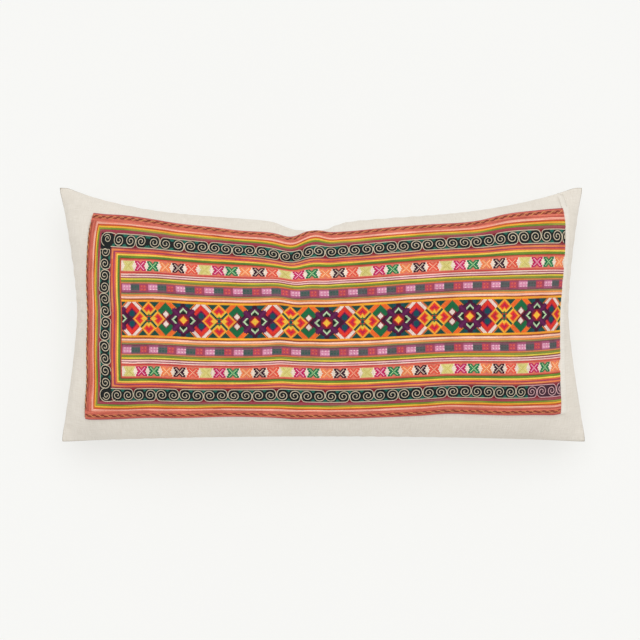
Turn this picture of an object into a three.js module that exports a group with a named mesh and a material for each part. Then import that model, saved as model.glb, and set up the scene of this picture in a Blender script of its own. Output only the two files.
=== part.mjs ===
// Embroidered lumbar cushion, lying on its back.
// A filled cover of two linen panels carries an old embroidered textile, pieced from bands, on its face.
// Millimetres. +X runs along the cushion, +Y towards its top edge, +Z out of its face.
// The origin is under the middle, on the surface that the cushion lies on.
import * as THREE from 'three';
import { mergeVertices } from 'three/addons/utils/BufferGeometryUtils.js';

// The two linen panels as they are cut
const CUT_LENGTH = 610;
const CUT_HEIGHT = 305;

// The filled cover: corner to corner, how far its edges draw in, and how it swells
const HALF_LENGTH = 301;
const HALF_HEIGHT = 146;
const TOP_DRAW_IN = 37;
const BOTTOM_DRAW_IN = 9;
const LEFT_DRAW_IN = 20;
const RIGHT_DRAW_IN = 19;
const BOTTOM_LEFT_SETBACK = 3.5;
const TOP_RIGHT_SETBACK = 1.5;
const SEAM_HEIGHT = 54;
const CORNER_DROOP = 8;
const FRONT_CROWN = 62;
const BACK_CROWN = 60;

// How blunt the crown is along and across, and how steeply it meets the seam at mid edge and at a corner
const CROWN_POWER_ALONG = 5;
const CROWN_POWER_ACROSS = 2.6;
const EDGE_STEEPNESS = 0.45;
const CORNER_EASE = 0.4;
const CORNER_REACH = 6;

// The pinch in the middle of the top edge: a wide slack hollow, and a crease that runs down from it
const SLACK = { at: -10, width: 50, depth: 6 };
const CREASE = { at: -33, width: 12, drop: 7, dent: 0.14, endsAt: 0.2 };

// The textile: bands from its edge to its middle, each the same above and below the centre band
const TEXTILE_LEFT = -271.5;
const TEXTILE_RIGHT = 274;
const CENTRE_BAND_HEIGHT = 35.8;
const FRAME_BANDS = [
  { name: 'edge_band', height: 10.1, leftWidth: 8.5, colour: '#c8584a' },
  { name: 'outer_strips', height: 11.0, leftWidth: 9.7, colour: '#d9a441' },
  { name: 'spiral_band', height: 18.0, leftWidth: 16.4, colour: '#3a4640' },
  { name: 'inner_strips', height: 11.2, leftWidth: 12.9, colour: '#a8842f' },
];
const FIELD_BANDS = [
  { name: 'star_row', height: 13.2, colour: '#dfc0ac' },
  { name: 'middle_strips', height: 12.3, colour: '#b06a76' },
  { name: 'block_row', height: 9.1, colour: '#94586a' },
  { name: 'centre_strips', height: 10.6, colour: '#dd9a5c' },
];

// The linen facing that is folded over the textile's cut right end
const FACING_WIDTH = 8;
const FACING_THICKNESS = 2.2;

const CLOTH_THICKNESS = 1;
const CLEARANCE = 0.3;
const FIELD_STEP = 22;
const CREASE_STEP = 9;

// A smooth rise of 1 at the middle that dies away over about two widths
function swell(x, place) {
  return Math.exp(-0.5 * ((x - place.at) / place.width) ** 2);
}

// How much of the crease is left at v, from none at its lower end to all of it at the top seam
function creaseShare(v) {
  return THREE.MathUtils.smoothstep(v, CREASE.endsAt, 1);
}

// Where a point of the cover lies, seen from above. u runs from -1 at the left seam to 1 at the right,
// v from -1 at the bottom seam to 1 at the top.
function planPoint(u, v) {
  const lower = (1 - v) / 2;
  const upper = (1 + v) / 2;
  const left = -HALF_LENGTH + BOTTOM_LEFT_SETBACK * lower + LEFT_DRAW_IN * (1 - v ** 2);
  const right = HALF_LENGTH - TOP_RIGHT_SETBACK * upper - RIGHT_DRAW_IN * (1 - Math.abs(v) ** 1.9);
  const x = THREE.MathUtils.lerp(left, right, (u + 1) / 2);
  const bottom = -HALF_HEIGHT + BOTTOM_DRAW_IN * (1 - Math.abs(u) ** 2.3);
  const top = HALF_HEIGHT - TOP_DRAW_IN * (1 - Math.abs(u) ** 3) - SLACK.depth * swell(x, SLACK);
  const y = THREE.MathUtils.lerp(bottom, top, upper) - CREASE.drop * swell(x, CREASE) * creaseShare(v);
  return [x, y];
}

// The share of the full crown that the cover has at a point, from 0 on the seam to 1 in the middle
function crownShare(u, v) {
  const nearCorner = Math.abs(u * v) ** CORNER_REACH;
  const steepness = EDGE_STEEPNESS + CORNER_EASE * nearCorner;
  const along = Math.max(0, 1 - Math.abs(u) ** CROWN_POWER_ALONG) ** steepness;
  const across = Math.max(0, 1 - Math.abs(v) ** CROWN_POWER_ACROSS) ** steepness;
  return along * across;
}

function seamHeight(u, v) {
  return SEAM_HEIGHT - CORNER_DROOP * Math.abs(u * v) ** CORNER_REACH;
}

function facePoint(u, v) {
  const [x, y] = planPoint(u, v);
  const dent = 1 - CREASE.dent * swell(x, CREASE) * creaseShare(v);
  return new THREE.Vector3(x, y, seamHeight(u, v) + FRONT_CROWN * crownShare(u, v) * dent);
}

// The back swells as the face does, and the surface under it presses it flat
function backPoint(u, v) {
  const [x, y] = planPoint(u, v);
  return new THREE.Vector3(x, y, Math.max(0, seamHeight(u, v) - BACK_CROWN * crownShare(u, v)));
}

// Finds the place on a curve, from -1 to 1, that has the given share of the curve's length before it
function placeAtLength(share, curve) {
  const steps = 64;
  const places = [];
  const lengths = [];
  let last = curve(-1);
  let length = 0;
  for (let i = 0; i <= steps; i += 1) {
    const place = Math.sin((i / steps - 0.5) * Math.PI);
    const point = curve(place);
    length += point.distanceTo(last);
    last = point;
    places.push(place);
    lengths.push(length);
  }
  const wanted = length * share;
  const next = lengths.findIndex((value) => value >= wanted);
  if (next <= 0) return next === 0 ? -1 : 1;
  const part = (wanted - lengths[next - 1]) / (lengths[next] - lengths[next - 1]);
  return THREE.MathUtils.lerp(places[next - 1], places[next], part);
}

// Lays a point of the flat linen panel, s along and t across from its middle, on the swollen cover:
// the cloth keeps its share of the length along both sections through the point
function layOnCover(s, t) {
  const shareAlong = s / CUT_LENGTH + 0.5;
  const shareAcross = t / CUT_HEIGHT + 0.5;
  let u = 2 * shareAlong - 1;
  let v = 2 * shareAcross - 1;
  for (let pass = 0; pass < 3; pass += 1) {
    u = placeAtLength(shareAlong, (place) => facePoint(place, v));
    v = placeAtLength(shareAcross, (place) => facePoint(u, place));
  }
  return [u, v];
}

// Evenly spaced lines from one edge to another, with both ends
function spacedLines(from, to, step) {
  const count = Math.max(1, Math.round((to - from) / step));
  return Array.from({ length: count + 1 }, (_, i) => from + ((to - from) * i) / count);
}

function sortedLines(lines) {
  const rounded = lines.map((line) => Math.round(line * 1000) / 1000);
  return [...new Set(rounded)].sort((a, b) => a - b);
}

// Where each band starts and ends, counted outwards from the textile's middle line
function bandPlaces() {
  const places = new Map();
  let outer = CENTRE_BAND_HEIGHT / 2;
  for (const band of [...FRAME_BANDS, ...FIELD_BANDS].reverse()) {
    places.set(band.name, { inner: outer, outer: outer + band.height });
    outer += band.height;
  }
  return places;
}

const bands = bandPlaces();
const TEXTILE_HALF_HEIGHT = bands.get('edge_band').outer;
const HALF_CUT_LENGTH = CUT_LENGTH / 2;
const HALF_CUT_HEIGHT = CUT_HEIGHT / 2;

// The lines of the flat panel along which every piece bends, so that the layers follow each other
function linesAlong() {
  const lines = [];
  let left = TEXTILE_LEFT;
  for (const band of FRAME_BANDS) {
    lines.push(left);
    left += band.leftWidth;
  }
  const seamLines = [0, 4, 11, 21].map((inset) => HALF_CUT_LENGTH - inset);
  const creaseEnd = SLACK.at + 2 * CREASE_STEP;
  lines.push(...spacedLines(left, CREASE.at - 3 * CREASE_STEP, FIELD_STEP));
  lines.push(...spacedLines(CREASE.at - 3 * CREASE_STEP, creaseEnd, CREASE_STEP));
  lines.push(...spacedLines(creaseEnd, TEXTILE_RIGHT, FIELD_STEP));
  lines.push(TEXTILE_RIGHT + FACING_WIDTH, ...seamLines.slice(0, 3), ...seamLines.map((line) => -line));
  return sortedLines(lines);
}

function linesAcross() {
  const seamLines = [0, 3, 9, 18, 28].map((inset) => HALF_CUT_HEIGHT - inset);
  const above = [...seamLines, CENTRE_BAND_HEIGHT / 2, ...[...bands.values()].map((band) => band.outer)];
  return sortedLines([0, ...above, ...above.map((line) => -line)]);
}

const along = linesAlong();
const across = linesAcross();
const panelPlaces = along.map((s) => across.map((t) => layOnCover(s, t)));
const face = panelPlaces.map((column) => column.map(([u, v]) => facePoint(u, v)));
const back = panelPlaces.map((column) => column.map(([u, v]) => backPoint(u, v)));
const faceNormals = face.map((column, i) => column.map((_, j) => faceNormal(i, j)));

function faceNormal(i, j) {
  const left = face[Math.max(0, i - 1)][j];
  const right = face[Math.min(along.length - 1, i + 1)][j];
  const below = face[i][Math.max(0, j - 1)];
  const above = face[i][Math.min(across.length - 1, j + 1)];
  return right.clone().sub(left).cross(above.clone().sub(below)).normalize();
}

// The index of the grid cell that holds a value, and how far into the cell it lies
function cellAt(lines, value) {
  const next = lines.findIndex((line) => line > value);
  const cell = next < 0 ? lines.length - 2 : Math.max(0, next - 1);
  return [cell, (value - lines[cell]) / (lines[cell + 1] - lines[cell])];
}

function blendInCell(grid, i, j, partAlong, partAcross) {
  const lower = grid[i][j].clone().lerp(grid[i + 1][j], partAlong);
  const upper = grid[i][j + 1].clone().lerp(grid[i + 1][j + 1], partAlong);
  return lower.lerp(upper, partAcross);
}

// A point at a height above the cover's face, over the place s, t of the flat panel
function pointAboveFace(s, t, height) {
  const [i, partAlong] = cellAt(along, s);
  const [j, partAcross] = cellAt(across, t);
  const point = blendInCell(face, i, j, partAlong, partAcross);
  const normal = blendInCell(faceNormals, i, j, partAlong, partAcross).normalize();
  return point.addScaledVector(normal, height);
}

// Adds a grid of points to a list of triangles, facing the way that its two directions turn. Each cell is
// split from its first corner to its far one, or the other way where isTurned says so.
function addGrid(triangles, points, flipped, isTurned = () => false) {
  for (let i = 0; i + 1 < points.length; i += 1) {
    for (let j = 0; j + 1 < points[i].length; j += 1) {
      const corners = [points[i][j], points[i + 1][j], points[i + 1][j + 1], points[i][j + 1]];
      if (isTurned(i, j)) corners.push(corners.shift());
      const [start, next, far, last] = corners;
      if (flipped) triangles.push(start, far, next, start, last, far);
      else triangles.push(start, next, far, start, far, last);
    }
  }
}

// At two of the cover's corners a cell is split away from the tip, so that the tip has a face and a back
function isTipCell(i, j) {
  const lastColumn = along.length - 2;
  const lastRow = across.length - 2;
  return (i === 0 && j === lastRow) || (i === lastColumn && j === 0);
}

function closedGeometry(triangles) {
  const positions = triangles.flatMap((point) => [point.x, point.y, point.z]);
  const geometry = new THREE.BufferGeometry();
  geometry.setAttribute('position', new THREE.Float32BufferAttribute(positions, 3));
  const merged = mergeVertices(geometry, 1e-4);
  merged.computeVertexNormals();
  return merged;
}

function namedMesh(name, triangles, colour, roughness) {
  const material = new THREE.MeshStandardMaterial({ color: colour, roughness, metalness: 0 });
  const mesh = new THREE.Mesh(closedGeometry(triangles), material);
  mesh.name = name;
  return mesh;
}

// The filled cover: its face and its back meet along the seam
function cushion() {
  const triangles = [];
  addGrid(triangles, face, false, isTipCell);
  addGrid(triangles, back, true, isTipCell);
  return namedMesh('linen_cushion', triangles, '#e2dccf', 0.9);
}

// The grid lines inside a stretch, with its two ends drawn in so that neighbours stay clear
function stretchLines(lines, from, to) {
  const start = from + CLEARANCE / 2;
  const end = to - CLEARANCE / 2;
  return [start, ...lines.filter((line) => line > start && line < end), end];
}

// A sheet over part of the face, lifted clear of what it lies on
function sheetOnFace(name, area, lift, thickness, colour) {
  const columns = stretchLines(along, area.left, area.right);
  const rows = stretchLines(across, area.bottom, area.top);
  const layer = (height) => columns.map((s) => rows.map((t) => pointAboveFace(s, t, height)));
  const under = layer(lift);
  const over = layer(lift + thickness);
  const last = rows.length - 1;
  const triangles = [];
  addGrid(triangles, over, false);
  addGrid(triangles, under, true);
  addGrid(triangles, [under.map((column) => column[0]), over.map((column) => column[0])], true);
  addGrid(triangles, [under.map((column) => column[last]), over.map((column) => column[last])], false);
  addGrid(triangles, [under[0], over[0]], false);
  addGrid(triangles, [under[columns.length - 1], over[columns.length - 1]], true);
  return namedMesh(name, triangles, colour, 0.85);
}

const GROUND_LIFT = CLEARANCE;
const BAND_LIFT = GROUND_LIFT + CLOTH_THICKNESS + CLEARANCE;

function bandOnGround(name, area, colour) {
  return sheetOnFace(name, area, BAND_LIFT, CLOTH_THICKNESS, colour);
}

// The plain cloth that holds the textile together under its bands
function textileGround() {
  const area = {
    left: TEXTILE_LEFT,
    right: TEXTILE_RIGHT,
    bottom: -TEXTILE_HALF_HEIGHT,
    top: TEXTILE_HALF_HEIGHT,
  };
  return sheetOnFace('textile_ground', area, GROUND_LIFT, CLOTH_THICKNESS, '#c9b29a');
}

// The same band above and below the centre band
function bandPair(band, left) {
  const { inner, outer } = bands.get(band.name);
  const above = { left, right: TEXTILE_RIGHT, bottom: inner, top: outer };
  const below = { left, right: TEXTILE_RIGHT, bottom: -outer, top: -inner };
  return [
    bandOnGround(`${band.name}_top`, above, band.colour),
    bandOnGround(`${band.name}_bottom`, below, band.colour),
  ];
}

const object = new THREE.Group();
object.add(cushion(), textileGround());

let bandLeft = TEXTILE_LEFT;
for (const band of FRAME_BANDS) {
  const { inner } = bands.get(band.name);
  const leftArea = { left: bandLeft, right: bandLeft + band.leftWidth, bottom: -inner, top: inner };
  object.add(...bandPair(band, bandLeft));
  object.add(bandOnGround(`${band.name}_left`, leftArea, band.colour));
  bandLeft += band.leftWidth;
}
for (const band of FIELD_BANDS) {
  object.add(...bandPair(band, bandLeft));
}

const centreArea = {
  left: bandLeft,
  right: TEXTILE_RIGHT,
  bottom: -CENTRE_BAND_HEIGHT / 2,
  top: CENTRE_BAND_HEIGHT / 2,
};
object.add(bandOnGround('centre_band', centreArea, '#a83a3c'));

// The facing lies on the linen beside the textile's cut end, from the top seam to the textile's foot
const facingArea = {
  left: TEXTILE_RIGHT,
  right: TEXTILE_RIGHT + FACING_WIDTH,
  bottom: -TEXTILE_HALF_HEIGHT,
  top: HALF_CUT_HEIGHT - 3,
};
object.add(sheetOnFace('end_facing', facingArea, CLEARANCE, FACING_THICKNESS, '#e6e0d4'));

export default object;
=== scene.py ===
import math

import bpy
import numpy as np
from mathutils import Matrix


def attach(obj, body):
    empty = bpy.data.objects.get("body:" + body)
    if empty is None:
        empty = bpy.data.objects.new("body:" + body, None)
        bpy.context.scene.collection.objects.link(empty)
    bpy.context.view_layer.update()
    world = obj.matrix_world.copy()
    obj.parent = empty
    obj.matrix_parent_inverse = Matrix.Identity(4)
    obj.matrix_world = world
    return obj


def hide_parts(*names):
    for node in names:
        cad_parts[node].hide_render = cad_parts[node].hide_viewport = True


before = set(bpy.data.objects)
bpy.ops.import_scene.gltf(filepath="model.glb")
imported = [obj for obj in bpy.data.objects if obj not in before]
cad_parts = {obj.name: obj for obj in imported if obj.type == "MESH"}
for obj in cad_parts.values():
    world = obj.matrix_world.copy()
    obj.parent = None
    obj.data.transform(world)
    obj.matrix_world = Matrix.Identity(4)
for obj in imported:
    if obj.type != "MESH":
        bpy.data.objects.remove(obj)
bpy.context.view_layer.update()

# The cover: two linen panels, cut 610 by 305 mm, sewn together round their edge, turned and filled. The
# filling crowns both, draws their edges in and leaves the corners as points. The back is pressed flat
# where it lies. The top seam is slack in its middle, with a crease, a pinch and a low shoulder of filling.
CUT_LENGTH, CUT_HEIGHT = 0.610, 0.305
HALF_LENGTH, HALF_HEIGHT, BOTTOM_OUT = 0.301, 0.146, 0.0015
TOP_DRAW_IN, BOTTOM_DRAW_IN = 0.037, 0.0060
LEFT_DRAW_IN, RIGHT_DRAW_IN, END_POWER = 0.019, 0.018, 1.5
TOP_LEFT_POWER, TOP_RIGHT_POWER, BOTTOM_POWER = 3.4, 3, 2.3
TOP_LEFT_FLARE, TOP_RIGHT_FLARE, FLARE_POWER = 0.003, 0.002, 4
CORNER_ALONG, CORNER_ACROSS = 0.972, 0.965
BOTTOM_LEFT_SETBACK, TOP_RIGHT_SETBACK = 0.0035, 0.0015
SEAM_HEIGHT, CORNER_DROOP = 0.054, 0.008
FRONT_CROWN, BACK_CROWN = 0.062, 0.060
CROWN_POWER_ALONG, CROWN_POWER_ACROSS = 5, 2.6
EDGE_STEEPNESS, CORNER_EASE, CORNER_REACH = 0.45, 0.4, 6
SLACK_AT, SLACK_WIDTH, SLACK_DEPTH = -0.010, 0.050, 0.006
CREASE_AT, CREASE_WIDTH, CREASE_DROP, CREASE_DENT, CREASE_END = -0.033, 0.012, 0.007, 0.14, 0.2
PINCH_AT, PINCH_WIDTH, PINCH_DROP, PINCH_END = -0.0035, 0.0142, 0.0100, 0.8
SHOULDER_AT, SHOULDER_WIDTH, SHOULDER_RISE = -0.004, 0.017, 0.017
SHOULDER_POWER, SHOULDER_END_POWER = 8, 24
PANEL_COLUMNS, PANEL_ROWS = 122, 61
MEASURED_PLACES, LAYING_ROUNDS = 65, 3


def swell(x, at, width):
    return np.exp(-0.5 * ((x - at) / width) ** 2)


def smooth_step(part):
    return part * part * (3 - 2 * part)


def share_beyond(v, start):
    """Rises from 0 at the given row of the panel to 1 at its top seam."""
    return smooth_step(np.clip((v - start) / (1 - start), 0, 1))


def plan_point(u, v):
    """Where a point of the cover lies from above. u and v run from -1 to 1 between the seams."""
    lower, upper = (1 - v) / 2, (1 + v) / 2
    blunt_u, blunt_v = np.minimum(np.abs(u) / CORNER_ALONG, 1), np.minimum(np.abs(v) / CORNER_ACROSS, 1)
    flare = np.clip(v, 0, 1) ** FLARE_POWER
    left = -HALF_LENGTH + BOTTOM_LEFT_SETBACK * lower - TOP_LEFT_FLARE * flare
    left += LEFT_DRAW_IN * (1 - blunt_v**END_POWER)
    right = HALF_LENGTH - TOP_RIGHT_SETBACK * upper + TOP_RIGHT_FLARE * flare
    right -= RIGHT_DRAW_IN * (1 - blunt_v**END_POWER)
    x = left + (right - left) * (u + 1) / 2
    bottom = -HALF_HEIGHT - BOTTOM_OUT + BOTTOM_DRAW_IN * (1 - blunt_u**BOTTOM_POWER)
    top_power = np.where(u < 0, TOP_LEFT_POWER, TOP_RIGHT_POWER)
    slack = SLACK_DEPTH * swell(x, SLACK_AT, SLACK_WIDTH)
    top = HALF_HEIGHT - TOP_DRAW_IN * (1 - blunt_u**top_power) - slack
    sunk = CREASE_DROP * swell(x, CREASE_AT, CREASE_WIDTH) * share_beyond(v, CREASE_END)
    sunk += PINCH_DROP * swell(x, PINCH_AT, PINCH_WIDTH) * share_beyond(v, PINCH_END)
    return x, bottom + (top - bottom) * upper - sunk


def crown_share(u, v):
    steepness = EDGE_STEEPNESS + CORNER_EASE * np.abs(u * v) ** CORNER_REACH
    along = np.clip(1 - np.abs(u) ** CROWN_POWER_ALONG, 0, 1) ** steepness
    return along * np.clip(1 - np.abs(v) ** CROWN_POWER_ACROSS, 0, 1) ** steepness


def seam_height(u, v):
    return SEAM_HEIGHT - CORNER_DROOP * np.abs(u * v) ** CORNER_REACH


def face_point(u, v):
    x, y = plan_point(u, v)
    dent = 1 - CREASE_DENT * swell(x, CREASE_AT, CREASE_WIDTH) * share_beyond(v, CREASE_END)
    upper = np.clip(v, 0, 1)
    shoulder = SHOULDER_RISE * swell(x, SHOULDER_AT, SHOULDER_WIDTH) * upper**SHOULDER_POWER
    z = seam_height(u, v) + FRONT_CROWN * crown_share(u, v) * dent
    return np.stack([x, y, z + shoulder * np.sqrt(1 - upper**SHOULDER_END_POWER)], axis=-1)


def back_point(u, v):
    x, y = plan_point(u, v)
    z = seam_height(u, v) - BACK_CROWN * crown_share(u, v)
    return np.stack([x, y, np.clip(z, 0, None)], axis=-1)


def place_at_length(share, curve):
    """The places on a set of curves that have the given shares of each curve's length before them."""
    places = np.sin(np.linspace(-0.5, 0.5, MEASURED_PLACES) * math.pi)[:, None]
    points = curve(places)
    steps = np.linalg.norm(np.diff(points, axis=0), axis=-1)
    lengths = np.vstack([np.zeros(share.shape), np.cumsum(steps, axis=0)])
    wanted = lengths[-1] * share
    after = np.clip((lengths < wanted).sum(axis=0), 1, len(places) - 1)
    which = np.arange(len(share))
    before_length, after_length = lengths[after - 1, which], lengths[after, which]
    part = (wanted - before_length) / (after_length - before_length)
    return places[after - 1, 0] * (1 - part) + places[after, 0] * part


def lay_on_cover(s, t):
    """The u and v of points of the flat panel: the cloth keeps its share of the length both ways."""
    share_along, share_across = s / CUT_LENGTH + 0.5, t / CUT_HEIGHT + 0.5
    u, v = 2 * share_along - 1, 2 * share_across - 1
    for _ in range(LAYING_ROUNDS):
        u = place_at_length(share_along, lambda place: face_point(place, v))
        v = place_at_length(share_across, lambda place: face_point(u, place))
    return u, v


def read_points(piece):
    points = np.empty(len(piece.data.vertices) * 3)
    piece.data.vertices.foreach_get("co", points)
    return points.reshape(-1, 3)


def write_points(piece, points):
    piece.data.vertices.foreach_set("co", np.asarray(points, dtype=np.float32).ravel())
    piece.data.update()


def mark_cloth(piece, flat):
    """Keeps each point's place on the flat cloth, which the weaves and stitches of the finishes follow."""
    places = piece.data.attributes.new("cloth", "FLOAT_VECTOR", "POINT")
    places.data.foreach_set("vector", np.asarray(flat, dtype=np.float32).ravel())


def read_cloth(piece):
    flat = np.empty(len(piece.data.vertices) * 3, dtype=np.float32)
    piece.data.attributes["cloth"].data.foreach_get("vector", flat)
    return flat.reshape(-1, 3).astype(float)


def deselect():
    bpy.ops.object.select_all(action="DESELECT")


def choose(piece):
    deselect()
    piece.select_set(True)
    bpy.context.view_layer.objects.active = piece


def linen_panel(surface, side):
    deselect()
    bpy.ops.mesh.primitive_grid_add(x_subdivisions=PANEL_COLUMNS, y_subdivisions=PANEL_ROWS, size=1)
    panel = bpy.context.object
    flat = read_points(panel) * (CUT_LENGTH, CUT_HEIGHT, 0)
    mark_cloth(panel, flat + (0, 0, side))
    u, v = lay_on_cover(flat[:, 0], flat[:, 1])
    write_points(panel, surface(u, v))
    return panel


FACE_SIDE, BACK_SIDE = 0, 1
SEWN_WITHIN, AT_SEAM = 0.00002, 0.0001
back_panel = linen_panel(back_point, BACK_SIDE)
bpy.ops.object.mode_set(mode="EDIT")
bpy.ops.mesh.select_all(action="SELECT")
bpy.ops.mesh.flip_normals()
bpy.ops.object.mode_set(mode="OBJECT")
cover = linen_panel(face_point, FACE_SIDE)
back_panel.select_set(True)
bpy.ops.object.join()
cover.name = "linen_cover"
bpy.ops.object.mode_set(mode="EDIT")
bpy.ops.mesh.select_all(action="SELECT")
bpy.ops.mesh.remove_doubles(threshold=SEWN_WITHIN)
bpy.ops.object.mode_set(mode="OBJECT")

# The linen settles over its filling: it is cut larger than the filled shape, so it wrinkles by the seams
SETTLE_FRAMES, SETTLE_LIMIT, PRESSED_BELOW = 16, 0.0025, 0.0008


def seam_distances(flat):
    """How far points of the flat panels are from their ends and from their sides."""
    return CUT_LENGTH / 2 - np.abs(flat[:, 0]), CUT_HEIGHT / 2 - np.abs(flat[:, 1])


def settle_linen(piece):
    sewn = read_points(piece)
    flat = read_cloth(piece) * (1, 1, 0)
    piece.shape_key_add(name="sewn")
    piece.shape_key_add(name="cut").data.foreach_set("co", flat.astype(np.float32).ravel())
    on_seam = np.minimum(*seam_distances(flat)) < AT_SEAM
    held = piece.vertex_groups.new(name="held")
    held.add(np.flatnonzero(on_seam | (sewn[:, 2] < PRESSED_BELOW)).tolist(), 1.0, "REPLACE")
    cloth = piece.modifiers.new("filling", "CLOTH")
    settings = cloth.settings
    settings.quality = 6
    settings.mass = 0.25
    settings.tension_stiffness = settings.compression_stiffness = 40
    settings.shear_stiffness = 10
    settings.bending_stiffness = 0.5
    settings.tension_damping = settings.compression_damping = 15
    settings.use_pressure = True
    settings.uniform_pressure_force = 4
    settings.vertex_group_mass = "held"
    settings.rest_shape_key = piece.data.shape_keys.key_blocks["cut"]
    settings.effector_weights.gravity = 0
    cloth.point_cache.frame_end = SETTLE_FRAMES
    for step in range(1, SETTLE_FRAMES + 1):
        bpy.context.scene.frame_set(step)
    settled = piece.evaluated_get(bpy.context.evaluated_depsgraph_get())
    moved = np.array([point.co for point in settled.data.vertices]) - sewn
    piece.modifiers.remove(cloth)
    piece.shape_key_clear()
    far = np.linalg.norm(moved, axis=1, keepdims=True)
    moved *= np.minimum(1, SETTLE_LIMIT / np.maximum(far, 1e-9))
    write_points(piece, sewn + moved)
    bpy.context.scene.frame_set(1)


settle_linen(cover)


def face_grid():
    """The points of the face panel as columns and rows, which everything sewn on the face is laid on."""
    flat = read_cloth(cover)
    on_face = flat[:, 2] < 0.5
    column = np.rint((flat[on_face, 0] / CUT_LENGTH + 0.5) * PANEL_COLUMNS).astype(int)
    row = np.rint((flat[on_face, 1] / CUT_HEIGHT + 0.5) * PANEL_ROWS).astype(int)
    grid = np.zeros((PANEL_COLUMNS + 1, PANEL_ROWS + 1, 3))
    grid[column, row] = read_points(cover)[on_face]
    return grid


def keep_seam_sharp(piece):
    """The seam keeps its line and its four points where the panels are smoothed."""
    from_ends, from_sides = seam_distances(read_cloth(piece))
    at_end, at_side = from_ends < AT_SEAM, from_sides < AT_SEAM
    ends = np.empty(2 * len(piece.data.edges), dtype=np.int32)
    piece.data.edges.foreach_get("vertices", ends)
    on_seam = (at_end | at_side)[ends.reshape(-1, 2)].all(axis=1)
    at_corner = at_end & at_side
    for name, domain, sharp in (("crease_edge", "EDGE", on_seam), ("crease_vert", "POINT", at_corner)):
        crease = piece.data.attributes.new(name, "FLOAT", domain)
        crease.data.foreach_set("value", sharp.astype(np.float32))


face = face_grid()
keep_seam_sharp(cover)
subdivision = cover.modifiers.new("smooth", "SUBSURF")
subdivision.levels = subdivision.render_levels = 1
choose(cover)
bpy.ops.object.modifier_apply(modifier="smooth")

# Small tucks stand along the seam, where the stitching gathers the edges of the panels, and the turnings
# inside show as soft ridges beside the textile's ends: each has its place, width, height, start and end
TUCK_HEIGHT, TUCK_PITCH, TUCK_REACH = 0.0005, 0.016, 0.012
TUCK_DRIFT, TUCK_DRIFT_TURN, TUCK_FADE, TUCK_FADE_TURN = 2.5, 41, 0.4, 23
RIDGE_SWAY, RIDGE_SWAY_TURN = 0.001, 60
# The last is how wide the painted shadow line along the seam is
PUFF_HEIGHT, PUFF_REACH, PAINTED_SEAM_SHADOW_WIDTH = 0.0009, 0.0055, 0.0007
RIDGES = [
    (-0.2925, 0.0030, 0.0007, 0.03, 0.14),
    (-0.2860, 0.0022, 0.0005, -0.14, -0.04),
    (0.2905, 0.0026, 0.0007, -0.13, 0.13),
    (-0.2990, 0.0022, 0.0004, -0.10, 0.13),
]


def tuck_seam(piece):
    points, flat = read_points(piece), read_cloth(piece)
    normals = np.empty(len(points) * 3)
    piece.data.vertex_normals.foreach_get("vector", normals)
    from_ends, from_sides = seam_distances(flat)
    inset = np.minimum(from_ends, from_sides)
    along = np.where(from_ends < from_sides, flat[:, 1], flat[:, 0])
    wave = np.sin(along * math.tau / TUCK_PITCH + TUCK_DRIFT * np.sin(along * TUCK_DRIFT_TURN))
    wave *= 1 - TUCK_FADE + TUCK_FADE * np.sin(along * TUCK_FADE_TURN)
    share = inset / TUCK_REACH * np.exp(1 - inset / TUCK_REACH)
    rise = TUCK_HEIGHT * wave * share + PUFF_HEIGHT * np.exp(-inset / PUFF_REACH) * (inset > AT_SEAM)
    for at, width, height, start, end in RIDGES:
        middle, reach = (start + end) / 2, (end - start) / 2
        line = at + RIDGE_SWAY * np.sin(flat[:, 1] * RIDGE_SWAY_TURN)
        ends = np.clip(1 - ((flat[:, 1] - middle) / reach) ** 4, 0, 1)
        rise += height * swell(flat[:, 0], line, width) * ends
    points += normals.reshape(-1, 3) * rise[:, None]
    points[:, 2] = np.clip(points[:, 2], 0, None)
    write_points(piece, points)


tuck_seam(cover)
bpy.ops.object.shade_smooth_by_angle(angle=math.radians(60))


def colour(red, green, blue):
    """A colour as it is seen, from 0 to 255, made linear."""
    seen = np.array([red, green, blue]) / 255
    return np.where(seen <= 0.04045, seen / 12.92, ((seen + 0.055) / 1.055) ** 2.4)


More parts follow.
